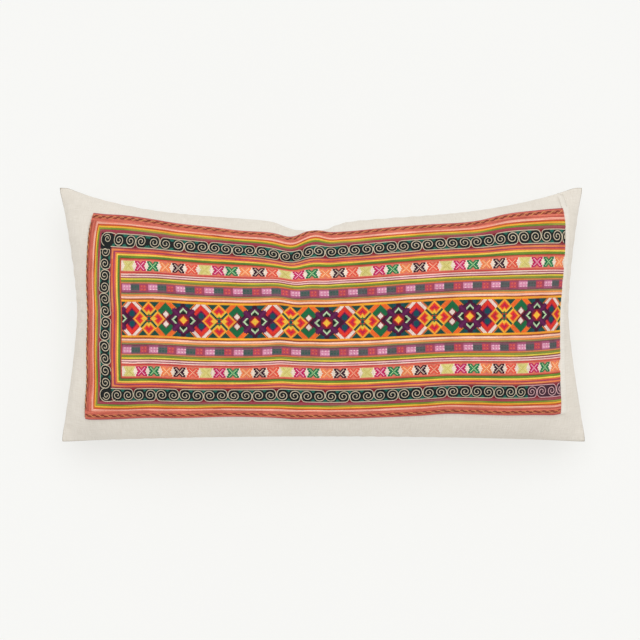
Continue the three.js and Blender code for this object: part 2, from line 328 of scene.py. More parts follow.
class Finish:
    """A material with the few nodes that the cloths here need."""

    def __init__(self, name, roughness, sheen):
        self.material = bpy.data.materials.new(name)
        self.material.use_nodes = True
        self.nodes = self.material.node_tree.nodes
        self.links = self.material.node_tree.links
        self.shader = self.nodes["Principled BSDF"]
        self.shader.inputs["Roughness"].default_value = roughness
        self.shader.inputs["Sheen Weight"].default_value = sheen
        self.shader.inputs["Specular IOR Level"].default_value = 0.25

    def attribute(self, name, output):
        node = self.nodes.new("ShaderNodeAttribute")
        node.attribute_name = name
        return node.outputs[output]

    def put(self, socket, value):
        if isinstance(value, bpy.types.NodeSocket):
            self.links.new(value, socket)
        else:
            socket.default_value = value

    def stretch(self, vector, scale):
        node = self.nodes.new("ShaderNodeMapping")
        self.put(node.inputs["Vector"], vector)
        node.inputs["Scale"].default_value = scale
        return node.outputs["Vector"]

    def noise(self, vector, scale, detail=2.0):
        node = self.nodes.new("ShaderNodeTexNoise")
        self.put(node.inputs["Vector"], vector)
        node.inputs["Scale"].default_value = scale
        node.inputs["Detail"].default_value = detail
        return node.outputs["Fac"]

    def calculate(self, operation, first, second=0.0):
        node = self.nodes.new("ShaderNodeMath")
        node.operation = operation
        self.put(node.inputs[0], first)
        self.put(node.inputs[1], second)
        return node.outputs[0]

    def between(self, value, low, high):
        """Spreads a noise, which lies mostly between a quarter and three quarters, from low to high."""
        node = self.nodes.new("ShaderNodeMapRange")
        self.put(node.inputs["Value"], value)
        node.inputs["From Min"].default_value = 0.25
        node.inputs["From Max"].default_value = 0.75
        node.inputs["To Min"].default_value = low
        node.inputs["To Max"].default_value = high
        return node.outputs["Result"]

    def mix(self, blend, factor, first, second):
        node = self.nodes.new("ShaderNodeMix")
        node.data_type = "RGBA"
        node.blend_type = blend
        self.put(node.inputs["Factor"], factor)
        self.put(node.inputs[6], first)
        self.put(node.inputs[7], second)
        return node.outputs[2]

    def beyond(self, value, limit):
        """1 where a value is further from 0 than the limit, and 0 elsewhere."""
        return self.calculate("GREATER_THAN", self.calculate("ABSOLUTE", value), limit)

    def bump(self, height, distance):
        node = self.nodes.new("ShaderNodeBump")
        node.inputs["Distance"].default_value = distance
        self.put(node.inputs["Height"], height)
        self.put(self.shader.inputs["Normal"], node.outputs["Normal"])


def rgba(linear):
    return (*linear, 1.0)


THREAD_PITCH, THREADS_PER_METRE, SLUBS_PER_METRE = 0.0006, 1700, 70


def linen_finish(name, light, dark):
    """Washed plain-weave linen: thick and thin threads both ways; the noise that raises the threads also
    lightens them, partly their own uneven tone, partly a painted highlight on their tops.
    """
    linen = Finish(name, 0.92, 0.12)
    cloth = linen.attribute("cloth", "Vector")
    weft = linen.noise(linen.stretch(cloth, (SLUBS_PER_METRE, THREADS_PER_METRE, 1)), 1, 3)
    warp = linen.noise(linen.stretch(cloth, (THREADS_PER_METRE, SLUBS_PER_METRE, 1)), 1, 3)
    threads = linen.calculate("MULTIPLY", linen.calculate("ADD", weft, warp), 0.5)
    blotches = linen.noise(cloth, 18, 3)
    shade = linen.mix("MIX", linen.between(threads, 0.0, 1.0), rgba(colour(*dark)), rgba(colour(*light)))
    faded = linen.mix("MULTIPLY", 1.0, shade, linen.between(blotches, 0.96, 1.04))
    split = linen.nodes.new("ShaderNodeSeparateXYZ")
    linen.put(split.inputs[0], cloth)
    # Painted shadow: a thin line of the linen along the seam is darkened
    at_end = linen.beyond(split.outputs[0], CUT_LENGTH / 2 - PAINTED_SEAM_SHADOW_WIDTH)
    at_side = linen.beyond(split.outputs[1], CUT_HEIGHT / 2 - PAINTED_SEAM_SHADOW_WIDTH)
    on_seam = linen.calculate("MAXIMUM", at_end, at_side)
    seam_shadow_painted = linen.mix("MULTIPLY", on_seam, faded, rgba(colour(190, 182, 170)))
    linen.put(linen.shader.inputs["Base Color"], seam_shadow_painted)
    thread_turn = math.pi / THREAD_PITCH
    over = linen.calculate("SINE", linen.calculate("MULTIPLY", split.outputs[0], thread_turn))
    under = linen.calculate("SINE", linen.calculate("MULTIPLY", split.outputs[1], thread_turn))
    weave = linen.calculate("MULTIPLY", linen.calculate("MULTIPLY", over, under), 0.25)
    linen.bump(linen.calculate("ADD", weave, threads), 0.00025)
    return linen.material


washed_linen = linen_finish("washed_linen", (240, 234, 224), (214, 205, 191))
cover.data.materials.clear()
cover.data.materials.append(washed_linen)
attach(cover, "root")
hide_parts("linen_cushion")

# The ground: a plain hand-woven cloth under the bands, which holds the old textile together. It is laid
# on the face of the cover and follows it. The textile was sewn by hand and is out of square: its ends
# slant, and its bands wander. Each table gives the shift or the lift, in metres, at places along a line.
TEXTILE_LEFT, TEXTILE_RIGHT, TEXTILE_HALF_HEIGHT = -0.2715, 0.274, 0.1134
CLEARANCE, CLOTH_THICKNESS = 0.0003, 0.001
SLANT_REACH, SLANT_POWER, LIFT_POWER, LIFT_FADE = 0.12, 1.5, 3, 0.03
LEFT_SHIFTS = {-0.113: 0.0034, -0.075: 0.009, -0.03: 0.006, 0.025: 0.005, 0.08: 0.0115, 0.113: 0.0155}
RIGHT_SHIFTS = {-0.113: -0.0086, -0.075: -0.0114, -0.03: -0.0079, 0.005: -0.0039, 0.03: -0.0024, 0.113: 0}
TOP_LIFTS = {
    -0.255: 0.0019, -0.224: 0.0042, -0.189: 0.0028, -0.163: -0.0001, -0.123: -0.0026, -0.084: -0.0057,
    -0.047: -0.0014, -0.032: 0.0034, -0.016: 0.005, -0.004: 0.004, 0.008: -0.0018, 0.026: -0.0022,
    0.062: -0.0004, 0.118: 0.001, 0.177: 0.0009, 0.206: 0.0064, 0.246: 0.0065,
}
MIDDLE_LIFTS = {
    -0.27: -0.003, -0.223: -0.0028, -0.188: -0.0003, -0.123: -0.0003, -0.06: 0.002,
    -0.033: 0.006, -0.005: 0.0032, 0.16: 0.0033, 0.243: -0.0013, 0.27: -0.0023,
}
BOTTOM_LIFTS = {
    -0.268: -0.0041, -0.226: 0.002, -0.197: 0.0051, -0.159: 0.0059, -0.101: 0.0079, -0.054: 0.007,
    0.034: 0.0059, 0.073: 0.0074, 0.11: 0.0093, 0.135: 0.0114, 0.168: 0.0101, 0.206: 0.0076,
    0.241: 0.0054, 0.265: 0.0023,
}
HUMP_AT, HUMP_WIDTH, HUMP_RISE, HUMP_POWER = -0.005, 0.010, 0.0045, 10
SAG_AT, SAG_WIDTH, SAG_SHARE, SAG_REACH, SAG_DROP = -0.045, 0.016, 0.72, 0.15, 0.0043


def smooth_line(x, line):
    """A smooth line through the values of a table at its places."""
    places, values = np.array(list(line)), np.array(list(line.values()))
    slopes = np.gradient(values, places)
    i = np.clip(np.searchsorted(places, x) - 1, 0, len(places) - 2)
    step = places[i + 1] - places[i]
    part = np.clip((x - places[i]) / step, 0, 1)
    rise = values[i] + (values[i + 1] - values[i]) * smooth_step(part)
    return rise + part * (1 - part) * step * (slopes[i] * (1 - part) - slopes[i + 1] * part)


def out_of_square(s, t):
    """Where a place of the flat, square textile lies on the panel once it is out of square."""
    left_share = np.clip((TEXTILE_LEFT + SLANT_REACH - s) / SLANT_REACH, 0, 1) ** SLANT_POWER
    right_share = np.clip((s - TEXTILE_RIGHT + SLANT_REACH) / SLANT_REACH, 0, 1) ** SLANT_POWER
    slant = smooth_line(t, LEFT_SHIFTS) * left_share + smooth_line(t, RIGHT_SHIFTS) * right_share
    share = np.clip(np.abs(t) / TEXTILE_HALF_HEIGHT, 0, 1)
    edge = np.where(t > 0, smooth_line(s, TOP_LIFTS), smooth_line(s, BOTTOM_LIFTS))
    middle = smooth_line(s, MIDDLE_LIFTS)
    lift = middle + (edge - middle) * share**LIFT_POWER
    hump = HUMP_RISE * swell(s, HUMP_AT, HUMP_WIDTH)
    lift += hump * np.where(t > 0, share**HUMP_POWER, 0)
    sag = SAG_DROP * swell(s, SAG_AT, SAG_WIDTH)
    lift -= sag * swell(t / TEXTILE_HALF_HEIGHT, SAG_SHARE, SAG_REACH)
    past_edge = np.clip((np.abs(t) - TEXTILE_HALF_HEIGHT) / LIFT_FADE, 0, 1)
    return s + slant, t + lift * (1 - smooth_step(past_edge))


def spline_weights(part):
    """The weights of a smooth surface's four nearest rows of points, and of its slope."""
    weights = [(1 - part) ** 3, 3 * part**3 - 6 * part**2 + 4, 3 * (part + part**2 - part**3) + 1, part**3]
    slopes = [-((1 - part) ** 2), 3 * part**2 - 4 * part, 1 + 2 * part - 3 * part**2, part**2]
    return np.stack(weights) / 6, np.stack(slopes) / 2


def cover_point(s, t, height):
    """A point at a height above the cover's face, over the place s, t of the flat panel."""
    column = (s / CUT_LENGTH + 0.5) * PANEL_COLUMNS
    row = (t / CUT_HEIGHT + 0.5) * PANEL_ROWS
    i = np.clip(np.floor(column).astype(int), 1, PANEL_COLUMNS - 2)
    j = np.clip(np.floor(row).astype(int), 1, PANEL_ROWS - 2)
    across, across_slope = spline_weights(column - i)
    up, up_slope = spline_weights(row - j)
    point, along_s, along_t = np.zeros((3, len(s), 3))
    for a in range(4):
        for b in range(4):
            knot = face[i + a - 1, j + b - 1]
            point += knot * (across[a] * up[b])[:, None]
            along_s += knot * (across_slope[a] * up[b])[:, None]
            along_t += knot * (across[a] * up_slope[b])[:, None]
    normal = np.cross(along_s, along_t)
    normal /= np.linalg.norm(normal, axis=1, keepdims=True)
    return point + normal * height[:, None]


def lay_on_face(piece):
    """Lays a flat piece, whose points are s, t and height, on the face of the cover."""
    flat = read_points(piece)
    mark_cloth(piece, flat)
    s, t = out_of_square(flat[:, 0], flat[:, 1])
    write_points(piece, cover_point(s, t, flat[:, 2]))


def flat_slab(name, length, width, columns, rows, underside, thickness, cuts=0):
    """A thin slab over 0 to length and 0 to width, its top cut finer than its underside."""
    deselect()
    place = (length / 2, width / 2, underside)
    bpy.ops.mesh.primitive_grid_add(x_subdivisions=columns, y_subdivisions=rows, size=1, location=place)
    slab = bpy.context.object
    slab.name = name
    slab.scale = (length, width, 1)
    bpy.ops.object.transform_apply(location=True, rotation=False, scale=True)
    bpy.ops.object.mode_set(mode="EDIT")
    bpy.ops.mesh.select_all(action="SELECT")
    bpy.ops.mesh.extrude_region_move(TRANSFORM_OT_translate={"value": (0, 0, thickness)})
    if cuts:
        bpy.ops.mesh.subdivide(number_cuts=cuts)
    bpy.ops.mesh.select_all(action="SELECT")
    bpy.ops.mesh.normals_make_consistent(inside=False)
    bpy.ops.object.mode_set(mode="OBJECT")
    return slab


def finish_piece(piece, material, slot, *nodes):
    piece.data.materials.clear()
    piece.data.materials.append(material)
    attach(piece, "root")
    if nodes:
        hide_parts(*nodes)


GROUND_COLUMNS, GROUND_ROWS = 110, 46
textile_length, textile_height = TEXTILE_RIGHT - TEXTILE_LEFT, 2 * TEXTILE_HALF_HEIGHT
ground_cut = (textile_length, textile_height, GROUND_COLUMNS, GROUND_ROWS)
ground = flat_slab("ground_cloth", *ground_cut, CLEARANCE, CLOTH_THICKNESS)
write_points(ground, read_points(ground) + (TEXTILE_LEFT, -TEXTILE_HALF_HEIGHT, 0))
lay_on_face(ground)
bpy.ops.object.shade_smooth_by_angle(angle=math.radians(40))

hemp = Finish("hemp_ground", 0.95, 0.1)
hemp_threads = hemp.noise(hemp.stretch(hemp.attribute("cloth", "Vector"), (1400, 1400, 1)), 1)
hemp_light, hemp_dark = rgba(colour(205, 180, 155)), rgba(colour(160, 130, 105))
hemp_shade = hemp.mix("MIX", hemp.between(hemp_threads, 0, 1), hemp_dark, hemp_light)
hemp.put(hemp.shader.inputs["Base Color"], hemp_shade)
hemp.bump(hemp_threads, 0.0003)
finish_piece(ground, hemp.material, "ground_cloth", "textile_ground")

# The edge bands: a strip of coral cotton round three sides, with a mauve thread along its edge and a
# braid of a light and a dark strand couched down its middle. Each band is listed with its reach from the
# textile's middle line and, for those that also run up the left side, its width there.
FRAME_BANDS = {
    "edge_band": (0.0101, 0.0085),
    "outer_strips": (0.0110, 0.0097),
    "spiral_band": (0.0180, 0.0164),
    "inner_strips": (0.0112, 0.0129),
}
FIELD_BANDS = {"star_row": 0.0132, "middle_strips": 0.0123, "block_row": 0.0091, "centre_strips": 0.0106}
CENTRE_HALF_HEIGHT = 0.0179
BAND_UNDERSIDE, BAND_TOP = 0.0014, 0.0021


def measure_bands():
    """The inner and outer reach of each band, and where each starts on the left."""
    reach, starts = {}, {}
    outer, start = TEXTILE_HALF_HEIGHT, TEXTILE_LEFT
    for name, (height, left_width) in FRAME_BANDS.items():
        reach[name] = (outer - height, outer)
        starts[name] = (start, start + left_width)
        outer -= height
        start += left_width
    for name, height in FIELD_BANDS.items():
        reach[name] = (outer - height, outer)
        starts[name] = (start, start)
        outer -= height
    return reach, starts


band_reach, band_starts = measure_bands()
FIELD_LEFT = band_starts["star_row"][0]


def band_size(band, where):
    inner, outer = band_reach[band]
    start, end = band_starts[band]
    if where == "left":
        return 2 * inner, end - start
    return TEXTILE_RIGHT - start, outer - inner


def spread_on_panel(points, band, where):
    """Moves points from a band's own length and width to the flat panel."""
    inner, _ = band_reach[band]
    start, end = band_starts[band]
    x, y, z = points.T
    if where == "left":
        return np.column_stack([end - y, x - inner, z])
    t = inner + y
    return np.column_stack([start + x, t if where == "top" else -t, z])


def turn_faces(piece):
    choose(piece)
    bpy.ops.object.mode_set(mode="EDIT")
    bpy.ops.mesh.select_all(action="SELECT")
    bpy.ops.mesh.flip_normals()
    bpy.ops.object.mode_set(mode="OBJECT")


def seat_band(piece, band, where):
    write_points(piece, spread_on_panel(read_points(piece), band, where))
    lay_on_face(piece)
    if where == "bottom":
        turn_faces(piece)
    choose(piece)
    bpy.ops.object.shade_smooth_by_angle(angle=math.radians(60))


def band_slab(band, where, columns, rows, cuts=0):
    length, width = band_size(band, where)
    thickness = BAND_TOP - BAND_UNDERSIDE
    name = f"{band}_{where}_cloth"
    return flat_slab(name, length, width, columns, rows, BAND_UNDERSIDE, thickness, cuts)


def raise_top(piece, height_at):
    """Raises the points of a slab's top by a height that depends on their place in the band."""
    points = read_points(piece)
    on_top = points[:, 2] > (BAND_UNDERSIDE + BAND_TOP) / 2
    points[on_top, 2] += height_at(points[on_top, 0], points[on_top, 1])
    write_points(piece, points)


def dye_faces(piece, colours):
    """Gives each face its own dye, as linear red, green and blue."""
    loops = np.empty(len(piece.data.polygons), dtype=np.int32)
    piece.data.polygons.foreach_get("loop_total", loops)
    per_corner = np.repeat(np.column_stack([colours, np.ones(len(colours))]), loops, axis=0)
    dye = piece.data.color_attributes.new("dye", "FLOAT_COLOR", "CORNER")
    dye.data.foreach_set("color", per_corner.astype(np.float32).ravel())


def face_centres(piece):
    centres = np.empty(len(piece.data.polygons) * 3)
    piece.data.polygons.foreach_get("center", centres)
    return centres.reshape(-1, 3)


def dyed_finish(name, grain, depth):
    """Dyed cotton or silk: the piece's dyes, faded unevenly, with threads of the given number per metre."""
    dyed = Finish(name, 0.82, 0.08)
    cloth = dyed.attribute("cloth", "Vector")
    fading = dyed.noise(cloth, 55, 3)
    threads = dyed.noise(dyed.stretch(cloth, grain), 1, 2)
    worn = dyed.mix("MULTIPLY", 1.0, dyed.attribute("dye", "Color"), dyed.between(fading, 0.90, 1.10))
    # The noise that raises the threads also lightens or darkens their dye by a fifth: partly their own
    # uneven tone, partly painted light and shade on the raised threads
    lit = dyed.mix("MULTIPLY", 1.0, worn, dyed.between(threads, 0.80, 1.20))
    dyed.put(dyed.shader.inputs["Base Color"], lit)
    dyed.bump(threads, depth)
    return dyed.material


WANDER_VALUES = 4000


def wander(x, step, seed):
    """A smooth random line between -1 and 1 that changes over about one step."""
    values = np.random.default_rng(seed).uniform(-1, 1, WANDER_VALUES)
    place = np.asarray(x) / step + WANDER_VALUES // 4
    low = np.floor(place).astype(int)
    part = smooth_step(place - low)
    return values[low] * (1 - part) + values[low + 1] * part


coral_cotton = dyed_finish("coral_cotton", (350, 1500, 1), 0.0003)
CORAL_LIGHT, CORAL_DARK = colour(228, 128, 104), colour(170, 62, 52)
EDGE_THREAD = colour(165, 75, 92)
EDGE_ROWS, EDGE_STEP, EDGE_ROUND = 13, 0.004, 0.0003
EDGE_TONE_STEP, EDGE_ROW_SHIFT = 0.018, 0.05
# Where across the band, how wide and how dark the painted shadow under the braid is
PAINTED_BRAID_SHADOW_AT, PAINTED_BRAID_SHADOW_REACH, PAINTED_BRAID_SHADOW_DEPTH = 0.6, 0.16, 0.8


def edge_band(where):
    length, width = band_size("edge_band", where)
    band = band_slab("edge_band", where, round(length / EDGE_STEP), EDGE_ROWS)
    raise_top(band, lambda x, y: EDGE_ROUND * np.sin(math.pi * np.clip(y / width, 0, 1)) ** 0.5)
    centres = face_centres(band)
    x, y = centres[:, 0], centres[:, 1]
    row = np.floor(y / width * EDGE_ROWS)
    tone = 0.5 + 0.5 * wander(x + row * EDGE_ROW_SHIFT, EDGE_TONE_STEP, 3)
    dyes = CORAL_DARK + (CORAL_LIGHT - CORAL_DARK) * (0.1 + 0.8 * tone)[:, None]
    # Painted shadow: the coral is darkened in a line under the braid
    dyes[np.abs(y / width - PAINTED_BRAID_SHADOW_AT) < PAINTED_BRAID_SHADOW_REACH] *= PAINTED_BRAID_SHADOW_DEPTH
    dyes[row == EDGE_ROWS - 1] = EDGE_THREAD
    dye_faces(band, dyes)
    seat_band(band, "edge_band", where)
    finish_piece(band, coral_cotton, "edge_band", f"edge_band_{where}")


for where in ("top", "bottom", "left"):
    edge_band(where)


def flat_cords(name, paths, radius, sides=1):
    """Round cords along paths of points on the flat band, as one mesh."""
    line = bpy.data.curves.new(name, "CURVE")
    line.dimensions = "3D"
    line.bevel_depth = radius
    line.bevel_resolution = sides
    line.use_fill_caps = True
    for path in paths:
        spline = line.splines.new("POLY")
        spline.points.add(len(path) - 1)
        spline.points.foreach_set("co", np.column_stack([path, np.ones(len(path))]).ravel())
    cord = bpy.data.objects.new(name, line)
    bpy.context.scene.collection.objects.link(cord)
    choose(cord)
    bpy.ops.object.convert(target="MESH")
    return bpy.context.object


def plain_dye(piece, shade):
    dye_faces(piece, np.tile(shade, (len(piece.data.polygons), 1)))


couched_silk = dyed_finish("couched_silk", (1800, 1800, 1), 0.0002)
BRAID_CROSSING, BRAID_RADIUS, BRAID_LIFT, BRAID_DEPTH = 0.0050, 0.00045, 0.0004, 0.0005
BRAID_INSET, BRAID_STEP, BRAID_DRIFT_STEP = 0.0012, 0.0010, 0.03
BRAID_SWING = {"top": 0.0014, "bottom": 0.0012, "left": 0.0006}
BRAID_LIGHT, BRAID_DARK = colour(212, 146, 90), colour(118, 54, 34)
BRAID_PLACE = {"top": 0.0055, "bottom": 0.0052, "left": 0.0074}


def braid_strand(where, turned):
    length, _ = band_size("edge_band", where)
    x = np.arange(BRAID_INSET, length - BRAID_INSET, BRAID_STEP)
    turn = x * math.pi / BRAID_CROSSING + wander(x, BRAID_DRIFT_STEP, 12) + (math.pi if turned else 0)
    y = BRAID_PLACE[where] + BRAID_SWING[where] * np.sin(turn)
    z = BAND_TOP + BRAID_LIFT + BRAID_DEPTH * np.cos(turn)
    return np.column_stack([x, y, z])


for where in ("top", "bottom", "left"):
    for shade_name, shade, turned in (("light", BRAID_LIGHT, False), ("dark", BRAID_DARK, True)):
        strand = flat_cords(f"braid_{where}_{shade_name}", [braid_strand(where, turned)], BRAID_RADIUS)
        plain_dye(strand, shade)
        seat_band(strand, "edge_band", where)
        finish_piece(strand, couched_silk, "edge_band")

# The strip bands: narrow strips of cotton, each folded and sewn down over the edge of the last, so that a
# rounded fold of each shows. They lie outside and inside the spirals, and between the rows of the field.
# Each strip has its dye, a second dye that it fades to in places, its width, and its width on the left.
STRIPS = {
    "outer_strips": [
        ((232, 132, 108), (240, 178, 158), 0.0010, 0.0010),
        ((234, 162, 142), (242, 188, 168), 0.0015, 0.0014),
        ((190, 74, 40), (204, 92, 46), 0.0019, 0.0016),
        ((228, 184, 60), (232, 160, 50), 0.0021, 0.0018),
        ((112, 138, 46), (150, 152, 62), 0.0021, 0.0019),
        ((150, 84, 86), (158, 60, 74), 0.0024, 0.0020),
    ],
    "inner_strips": [
        ((216, 100, 66), (226, 140, 84), 0.0023, 0.0026),
        ((152, 58, 96), (176, 66, 92), 0.0012, 0.0018),
        ((214, 92, 70), (226, 120, 76), 0.0016, 0.0020),
        ((232, 188, 66), (236, 200, 84), 0.0020, 0.0022),
        ((104, 140, 46), (84, 122, 50), 0.0022, 0.0020),
        ((140, 92, 56), (110, 96, 60), 0.0008, 0.0013),
        ((206, 76, 58), (218, 96, 70), 0.0011, 0.0010),
    ],
    "middle_strips": [
        ((200, 68, 62), (214, 92, 74), 0.0017, 0),
        ((242, 214, 200), (240, 196, 186), 0.0014, 0),
        ((158, 62, 92), (170, 66, 80), 0.0008, 0),
        ((240, 186, 188), (238, 200, 190), 0.0017, 0),
        ((136, 44, 58), (150, 60, 70), 0.0009, 0),
        ((226, 190, 62), (216, 196, 76), 0.0019, 0),
        ((112, 136, 50), (132, 142, 62), 0.0021, 0),
        ((214, 110, 62), (200, 128, 74), 0.0018, 0),
    ],
    "centre_strips": [
        ((150, 66, 82), (140, 80, 92), 0.0010, 0),
        ((128, 134, 82), (156, 140, 88), 0.0014, 0),
        ((236, 158, 88), (226, 140, 76), 0.0022, 0),
        ((246, 206, 184), (240, 186, 164), 0.0024, 0),
        ((160, 50, 38), (178, 64, 42), 0.0010, 0),
        ((238, 168, 46), (230, 146, 48), 0.0026, 0),
    ],
}
ROWS_IN_STRIP, STRIP_STEP, CORNER_STEP, STRIP_MARGIN = 5, 0.003, 0.0005, 0.0001
STRIP_WANDER, STRIP_WANDER_STEP, DYE_CHANGE_STEP, DYE_SHIFT = 0.00016, 0.015, 0.028, 0.37
FOLD_PROFILE = ([0, 0.2, 0.4, 0.6, 0.8, 1], [0, 0.0003, 0.0005, 0.0006, 0.00055, 0])
# Painted light and shade across each strip's fold, row by row from its inner edge: a little lighter on the
# fold's rise and dark in the groove at its outer edge
PAINTED_FOLD_SHADING = np.array([0.97, 1.05, 1.08, 1.0, 0.62])
folded_cotton = dyed_finish("folded_cotton", (420, 1800, 1), 0.0002)


def strip_places(strips, where):
    """The edges of the strips across a band, counted from its inner side."""
    widths = [strip[3] if where == "left" else strip[2] for strip in reversed(strips)]
    return np.concatenate([[0], np.cumsum(widths)])


def strip_band(band, where):
    strips = STRIPS[band]
    length, width = band_size(band, where)
    start, end = band_starts[band]
    corner = end - start if where != "left" else 0
    corner_columns = round(corner / CORNER_STEP)
    straight_columns = round((length - corner) / STRIP_STEP)
    columns, rows = corner_columns + straight_columns, ROWS_IN_STRIP * len(strips)
    slab = band_slab(band, where, columns, rows)
    points = read_points(slab)
    edges = strip_places(strips, where) * width / strip_places(strips, where)[-1]
    if corner:
        column_places = [0, corner_columns, columns]
        points[:, 0] = np.interp(points[:, 0] / length * columns, column_places, [0, corner, length])
    points[:, 1] = np.interp(points[:, 1] / width * len(strips), np.arange(len(strips) + 1), edges)
    inside = (points[:, 1] > STRIP_MARGIN) & (points[:, 1] < width - STRIP_MARGIN)
    points[inside, 1] += STRIP_WANDER * wander(points[inside, 0], STRIP_WANDER_STEP, len(strips) + 20)
    write_points(slab, points)
    left_edges = strip_places(strips, "left")

    def strip_at(x, y):
        place = np.interp(y, edges, np.arange(len(strips) + 1))
        if corner:
            place = np.maximum(place, np.interp(corner - x, left_edges, np.arange(len(strips) + 1)))
        return np.clip(place, 0, len(strips) - 0.0001)

    raise_top(slab, lambda x, y: np.interp(strip_at(x, y) % 1, *FOLD_PROFILE))
    centres = face_centres(slab)
    place = strip_at(centres[:, 0], centres[:, 1])
    which = len(strips) - 1 - place.astype(int)
    first = np.array([colour(*strip[0]) for strip in strips])[which]
    second = np.array([colour(*strip[1]) for strip in strips])[which]
    change = wander(centres[:, 0] + which * DYE_SHIFT, DYE_CHANGE_STEP, 31)
    change = np.clip(0.5 + 1.2 * change, 0, 1)[:, None]
    # Painted light and shade: each face's dye is lightened or darkened by its row in the fold
    painted_fold_light_and_shade = PAINTED_FOLD_SHADING[(place % 1 * ROWS_IN_STRIP).astype(int)][:, None]
    dye_faces(slab, (first * (1 - change) + second * change) * painted_fold_light_and_shade)
    seat_band(slab, band, where)
    finish_piece(slab, folded_cotton, band, f"{band}_{where}")


for where in ("top", "bottom", "left"):
    strip_band("outer_strips", where)
    strip_band("inner_strips", where)
for where in ("top", "bottom"):
    strip_band("middle_strips", where)
    strip_band("centre_strips", where)

# The spiral bands: cream silk cord couched in spirals on black cotton, two by two, with patches of teal and
# dark red between them. Each spiral's cord leaves the cord along the band's border, passes the notch beside
# it and winds in. In the corners of the rows the cord runs round in a loop with a curl inside it.
# For each band, the place of its first notch and the distance to the next notch on the same side are given.
SPIRAL_NOTCHES = {"top": (-0.2350, 0.05304), "bottom": (-0.2370, 0.0531), "left": (-0.0026, 0.0512)}
SPIRAL_RADIUS, SPIRAL_TURNS, SPIRAL_CENTRE_RADIUS, SPIRAL_STEPS = 0.0063, 1.7, 0.0010, 40
SPIRAL_LEAD = [(0.0, 0.0072), (-0.0022, 0.0071), (-0.0042, 0.0063), (-0.0055, 0.0046), (-0.0061, 0.0022)]
SPIRAL_STEP, SPIRAL_ROWS, SPIRAL_FADING, SPIRAL_FADING_STEP = 0.0016, 12, 0.15, 0.004
SPIRAL_CORD_RADIUS, SPIRAL_CORD_LIFT = 0.00044, 0.0003
BORDER_REACH, ROW_END, LAST_SPIRAL_PAST, LOOP_JOIN, SHORTEST_RUN = 0.0072, 0.0008, 0.006, 0.0014, 0.02
TEAL_FROM, TEAL_SLOPE, NOTCH_FROM, NOTCH_SLOPE = 0.0034, 0.9, 0.0040, 0.95
TOP_SPIRAL_SHIFTS = {
    -0.220: 0, -0.190: 0.0034, -0.150: 0.0056, -0.100: 0.0044, -0.045: 0.0026, -0.015: 0.0028, 0.010: 0,
}
CORNER_LOOP = {"x": 0.0085, "y": 0.0005, "across": 0.0072, "up": 0.0074}
CORNER_CURL = {"x": 0.0095, "y": 0.0012, "first": 0.0050, "last": 0.0010, "turns": 1.5}
SPIRAL_BLACK, SPIRAL_TEAL, NOTCH_RED = colour(22, 26, 26), colour(30, 100, 84), colour(120, 24, 34)
SPIRAL_CREAM, BORDER_MAUVE = colour(210, 196, 170), colour(150, 66, 72)
PLUM_FROM, PLUM_GROUND, LILAC_CORD = 0.229, colour(66, 38, 50), colour(222, 178, 180)
black_cotton = dyed_finish("black_cotton", (1500, 1500, 1), 0.0002)


def spiral_centres(where, length):
    """Each spiral's place along the band, with 1 or -1 for its notch's side, across and along."""
    first, period = SPIRAL_NOTCHES[where]
    if where != "left":
        first -= band_starts["spiral_band"][0]
    found = []
    for k in range(-1, 2 + int(length / period)):
        for notch, across in ((first + k * period, 1), (first + (k + 0.5) * period, -1)):
            if where == "top":
                notch += smooth_line(notch + band_starts["spiral_band"][0], TOP_SPIRAL_SHIFTS)
            for along in (-1, 1):
                found.append((notch + along * period / 8, across, along))
    return found


def spiral_path(centre, middle, across, along, shrink):
    """The cord from the band's border at a spiral's top, down past its notch and in to its middle."""
    turn = np.linspace(0, SPIRAL_TURNS, SPIRAL_STEPS)
    radius = SPIRAL_RADIUS + (SPIRAL_CENTRE_RADIUS - SPIRAL_RADIUS) * turn / SPIRAL_TURNS
    angle = math.pi + turn * math.tau
    curl = np.column_stack([radius * np.cos(angle) * shrink, radius * np.sin(angle)])
    flat = np.vstack([np.array(SPIRAL_LEAD) * (shrink, 1), curl])
    return np.column_stack([centre + flat[:, 0] * along, middle + flat[:, 1] * across])


def lift_cord(path):
    return np.column_stack([path, np.full(len(path), BAND_TOP + SPIRAL_CORD_LIFT)])


def corner_width(where):
    """The length of a row that its corner loop takes up. The left band has its corners in the rows."""
    start, end = band_starts["spiral_band"]
    return 0 if where == "left" else end - start


def border_reach(width):
    return BORDER_REACH * width / FRAME_BANDS["spiral_band"][0]


def spiral_cords(where):
    length, width = band_size("spiral_band", where)
    middle, (_, period) = width / 2, SPIRAL_NOTCHES[where]
    first_place, last_place = corner_width(where), length - ROW_END
    shrink = period / SPIRAL_NOTCHES["top"][1]
    reach = border_reach(width)
    centres = spiral_centres(where, length)
    paths = []
    for centre, across, along in centres:
        if first_place < centre < length + LAST_SPIRAL_PAST:
            path = spiral_path(centre, middle, across, along, shrink)
            path = path[path[:, 0] < last_place]
            if len(path) > 2:
                paths.append(lift_cord(path))
    for side in (1, -1):
        tops = sorted(c for c, across, _ in centres if across == side)
        for one, two in zip(tops[:-1], tops[1:]):
            one = max(one, first_place - LOOP_JOIN if first_place else ROW_END)
            two = min(two, last_place)
            if two - one > SHORTEST_RUN:
                x = np.linspace(one, two, 9)
                paths.append(lift_cord(np.column_stack([x, np.full(9, middle + side * reach)])))
    if where != "left":
        paths += [lift_cord(path) for path in corner_cords(middle, first_place)]
    return paths


